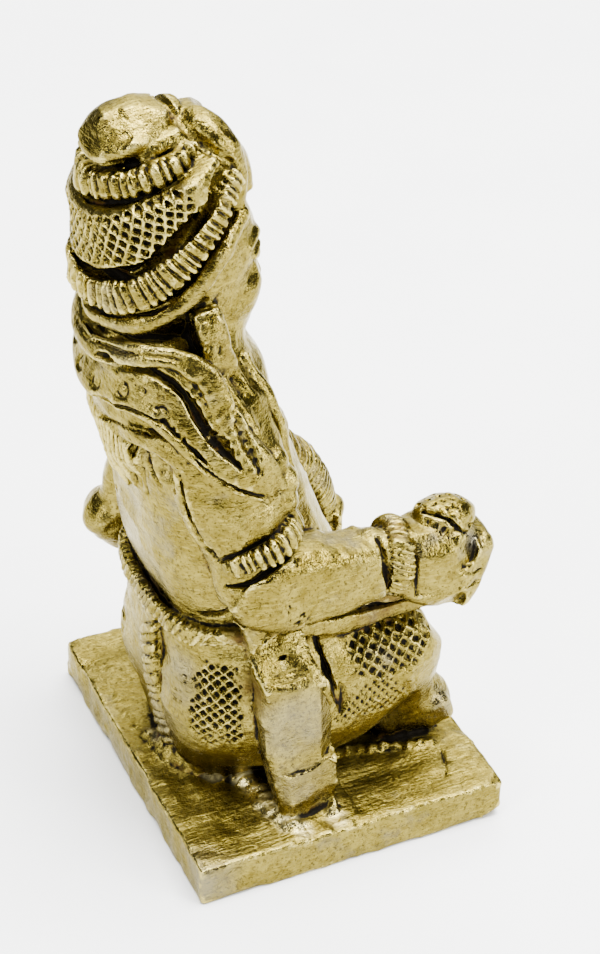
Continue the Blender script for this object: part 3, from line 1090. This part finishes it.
class Shader:
    """A few short calls for building a material's nodes."""

    def __init__(self, name):
        self.material = bpy.data.materials.new(name)
        self.material.use_nodes = True
        self.nodes = self.material.node_tree.nodes
        self.links = self.material.node_tree.links
        self.surface = self.nodes["Principled BSDF"]

    def put(self, kind, inputs=None, out=0, **settings):
        node = self.nodes.new(kind)
        for key, value in settings.items():
            setattr(node, key, value)
        for key, value in (inputs or {}).items():
            self.set(node.inputs[key], value)
        return node.outputs[out]

    def set(self, socket, value):
        if isinstance(value, bpy.types.NodeSocket):
            self.links.new(value, socket)
        else:
            socket.default_value = value

    def mark(self, name):
        return self.put("ShaderNodeAttribute", attribute_name=name, out="Fac")

    def noise(self, where, scale, detail=3, rough=0.55):
        return self.put("ShaderNodeTexNoise", {"Vector": where, "Scale": scale, "Detail": detail, "Roughness": rough})

    def steps(self, value, low, high, to_low=0.0, to_high=1.0):
        return self.put("ShaderNodeMapRange", {"Value": value, "From Min": low, "From Max": high, "To Min": to_low,
                                               "To Max": to_high}, interpolation_type="SMOOTHSTEP")

    def math(self, operation, a, b=0.0, clamp=False):
        return self.put("ShaderNodeMath", {0: a, 1: b}, operation=operation, use_clamp=clamp)

    def near(self, where, spots, cloud):
        """How close a place is to any of some spots of (x, y, z, reach, strength), broken up by a noise."""
        out = 0.0
        for x, y, z, reach, strength in spots:
            away = self.put("ShaderNodeVectorMath", {0: where, 1: (x / 1000, y / 1000, z / 1000)}, out="Value",
                            operation="DISTANCE")
            close = self.steps(away, reach / 1000, reach / 4000, 0.0, strength)
            out = self.math("MAXIMUM", close, out)
        return self.math("MULTIPLY", out, self.steps(cloud, 0.3, 0.6, 0.25, 1.0))

    def mix(self, share, a, b):
        node = self.nodes.new("ShaderNodeMix")
        node.data_type = "RGBA"
        self.set(node.inputs[0], share)
        self.set(node.inputs[6], a)
        self.set(node.inputs[7], b)
        return node.outputs[2]


def colour(red, green, blue):
    return (red, green, blue, 1)


# where the photo shows brown dirt and grey, unpolished metal: place and reach in millimetres, and strength
BROWN_SPOTS = [(-12.6, 4.4, 20.2, 2.6, 0.95), (-10.2, 6.6, 15.5, 2.6, 0.6), (-9.4, 7.0, 19.4, 1.8, 0.8),
               (-9.6, -4.5, 19.0, 3.4, 0.6), (-8.5, -4.5, 6.5, 3.4, 0.5), (-9.0, 6.5, 44.0, 3.0, 0.5),
               (-10.4, -4.8, 27.0, 1.4, 0.6), (4.2, -3.0, 25.6, 2.2, 0.5)]
GREY_SPOTS = [(-11.2, -10.6, 24.9, 1.3, 0.9), (-12.9, 4.0, 13.0, 4.6, 0.45), (-13.1, 3.2, 7.0, 3.6, 0.35),
              (-5.8, 11.2, 14.5, 3.6, 0.5), (-15.0, 12.7, 2.5, 4.0, 0.6)]

# the uncut metal that ran out along the figure's foot and past the strap
BRIGHT_SPOTS = [(-7.6, 6.3, 4.4, 1.4, 0.8), (-8.8, 5.6, 4.0, 1.3, 0.85), (-10.2, 5.4, 3.8, 1.3, 0.85),
                (-11.6, 5.2, 3.7, 1.2, 0.9), (-13.0, 4.8, 3.7, 1.2, 0.9), (-14.0, 4.0, 3.6, 1.1, 0.7),
                (-13.9, 1.0, 3.6, 1.2, 0.5), (-5.6, 8.0, 4.2, 1.3, 0.5)]


def worn_brass():
    s = Shader("worn_brass")
    place = s.put("ShaderNodeTexCoord", out="Object")
    line, fine, broad = s.mark("hollow_line"), s.mark("hollow_fine"), s.mark("hollow_broad")
    ridge_line, ridge = s.mark("ridge_line"), s.mark("ridge_fine")
    normal = s.put("ShaderNodeNewGeometry", out="Normal")
    clouds = s.noise(place, 240, 4)
    patches = s.noise(place, 620, 4, 0.6)
    grain = s.noise(place, 1700, 4, 0.7)
    specks = s.noise(place, 4200, 3, 0.7)
    # file marks: lines across the flats that face up, level lines round everything else
    upright = s.math("ABSOLUTE", s.put("ShaderNodeSeparateXYZ", {"Vector": normal}, out="Z"))
    across = s.put("ShaderNodeMapping", {"Vector": place, "Rotation": (0, 0, 0.6), "Scale": (5200, 700, 700)})
    level = s.put("ShaderNodeMapping", {"Vector": place, "Rotation": (0.12, 0.1, 0), "Scale": (800, 800, 4600)})
    filed = s.mix(s.steps(upright, 0.6, 0.85), s.noise(level, 1, 3, 0.6), s.noise(across, 1, 3, 0.6))

    tone = s.mix(s.steps(clouds, 0.35, 0.66), colour(0.140, 0.108, 0.016), colour(0.205, 0.163, 0.032))
    tone = s.mix(s.math("MULTIPLY", s.steps(grain, 0.42, 0.64), 0.6), tone, colour(0.075, 0.052, 0.005))
    tone = s.mix(s.math("MULTIPLY", s.steps(patches, 0.5, 0.68), 0.5), tone, colour(0.088, 0.069, 0.008))
    tone = s.mix(s.math("MULTIPLY", s.steps(filed, 0.54, 0.68), 0.35), tone, colour(0.34, 0.275, 0.055))
    tone = s.mix(s.math("MULTIPLY", s.steps(filed, 0.42, 0.32), 0.2), tone, colour(0.055, 0.038, 0.005))
    tone = s.mix(s.math("MULTIPLY", s.steps(specks, 0.55, 0.63), 0.8), tone, colour(0.025, 0.016, 0.004))
    grey = s.math("MULTIPLY", s.steps(s.noise(place, 150, 4, 0.65), 0.56, 0.72), 0.45)
    grey = s.math("MAXIMUM", grey, s.near(place, GREY_SPOTS, clouds))
    tone = s.mix(grey, tone, colour(0.135, 0.125, 0.095))
    brown = s.math("ADD", s.math("ADD", s.math("MULTIPLY", broad, 0.75), s.math("MULTIPLY", fine, 0.5)),
                   s.steps(patches, 0.3, 0.75, -0.36, 0.3))
    brown = s.steps(s.math("SUBTRACT", brown, s.math("MULTIPLY", s.steps(upright, 0.8, 0.95), 0.42)), 0.36, 0.85)
    brown = s.math("MAXIMUM", brown, s.near(place, BROWN_SPOTS, patches))
    tone = s.mix(brown, tone, colour(0.048, 0.020, 0.004))
    black = s.math("ADD", s.math("ADD", s.math("MULTIPLY", line, 0.75), s.math("MULTIPLY", fine, 0.65)),
                   s.steps(grain, 0.3, 0.7, -0.22, 0.22))
    black = s.steps(s.math("ADD", black, s.steps(broad, 0.5, 0.95, 0.0, 0.8)), 0.36, 0.8)
    tone = s.mix(black, tone, colour(0.004, 0.003, 0.002))
    worn = s.math("ADD", s.math("ADD", ridge, s.math("MULTIPLY", ridge_line, 0.6)), s.steps(grain, 0.3, 0.7, -0.6, 0.4))
    worn = s.steps(worn, 0.5, 1.3)
    tone = s.mix(s.math("MULTIPLY", worn, 0.75), tone, colour(0.50, 0.415, 0.12))
    bright = s.near(place, BRIGHT_SPOTS, grain)
    tone = s.mix(bright, tone, colour(0.62, 0.53, 0.22))
    s.set(s.surface.inputs["Base Color"], tone)
    dull = s.math("MAXIMUM", s.math("MULTIPLY", brown, 0.7), black)
    dull = s.math("SUBTRACT", dull, bright, clamp=True)
    s.set(s.surface.inputs["Metallic"], s.math("SUBTRACT", 1.0, s.math("MULTIPLY", dull, 0.75)))
    s.surface.inputs["Specular IOR Level"].default_value = 0.12
    s.surface.inputs["Specular Tint"].default_value = colour(0.86, 0.81, 0.62)
    shine = s.math("ADD", s.steps(clouds, 0.3, 0.7, 0.12, 0.22), s.steps(grain, 0.3, 0.7, -0.04, 0.12))
    shine = s.math("ADD", shine, s.steps(upright, 0.8, 0.97, 0.0, 0.16))
    s.set(s.surface.inputs["Roughness"], s.math("ADD", shine, s.math("MULTIPLY", dull, 0.45)))
    bumps = s.math("ADD", s.math("MULTIPLY", patches, 1.0),
                   s.math("ADD", s.math("MULTIPLY", grain, 0.45), s.math("MULTIPLY", specks, 0.08)))
    bumps = s.math("ADD", bumps, s.math("MULTIPLY", filed, s.steps(upright, 0.7, 0.95, 0.26, 0.5)))
    s.set(s.surface.inputs["Normal"], s.put("ShaderNodeBump", {"Height": bumps, "Strength": 0.6, "Distance": 0.0003}))
    return s.material


mesh.materials.append(worn_brass())

# Floor, camera and light

def link(thing):
    bpy.context.scene.collection.objects.link(thing)
    return thing


camera = link(bpy.data.objects.new("camera", bpy.data.cameras.new("camera")))
CAMERA_PLACE = (-0.141007, 0.063132, 0.136025)
CAMERA_AXES = ((-0.40968, -0.91214, 0.01277), (0.53204, -0.22754, 0.81557), (-0.74101, 0.34092, 0.57851))
camera.matrix_world = Matrix([[axis[row] for axis in CAMERA_AXES] + [CAMERA_PLACE[row]] for row in range(3)]
                             + [[0, 0, 0, 1]])
camera.data.lens = 94.34
camera.data.sensor_width = 36
camera.data.clip_start = 0.01
bpy.context.scene.camera = camera


def pale_floor():
    s = Shader("pale_floor")
    place = s.put("ShaderNodeTexCoord", out="Object")
    s.set(s.surface.inputs["Base Color"],
          s.mix(s.steps(s.noise(place, 60, 2), 0.3, 0.7), colour(0.88, 0.89, 0.91), colour(0.91, 0.92, 0.93)))
    s.set(s.surface.inputs["Roughness"], 0.7)
    return s.material


floor_mesh = bpy.data.meshes.new("floor")
floor_mesh.from_pydata([(-1.5, -1.5, 0), (1.5, -1.5, 0), (1.5, 1.5, 0), (-1.5, 1.5, 0)], [], [(0, 1, 2, 3)])
floor_mesh.materials.append(pale_floor())
link(bpy.data.objects.new("floor", floor_mesh))

world = bpy.data.worlds.new("studio")
bpy.context.scene.world = world
world.use_nodes = True
world.node_tree.nodes["Background"].inputs["Color"].default_value = colour(0.95, 0.97, 1.0)
world.node_tree.nodes["Background"].inputs["Strength"].default_value = 0.25


def soft_light(name, place, size, power, tint=(1, 1, 1), aim=(0, 0, 0.03)):
    lamp = bpy.data.lights.new(name, "AREA")
    lamp.shape = "RECTANGLE"
    lamp.size, lamp.size_y = size
    lamp.energy = power
    lamp.color = tint
    thing = link(bpy.data.objects.new(name, lamp))
    thing.location = place
    thing.rotation_euler = (Vector(aim) - Vector(place)).to_track_quat("-Z", "Y").to_euler()
    return thing


soft_light("above", (-0.02, -0.05, 0.50), (0.28, 0.40), 15.0, (1.0, 0.99, 0.96))
soft_light("side", (-0.36, -0.28, 0.20), (0.14, 0.26), 3.2)
soft_light("behind", (-0.14, 0.42, 0.22), (0.12, 0.24), 2.0)
soft_light("far", (0.32, -0.20, 0.30), (0.40, 0.34), 4.0)
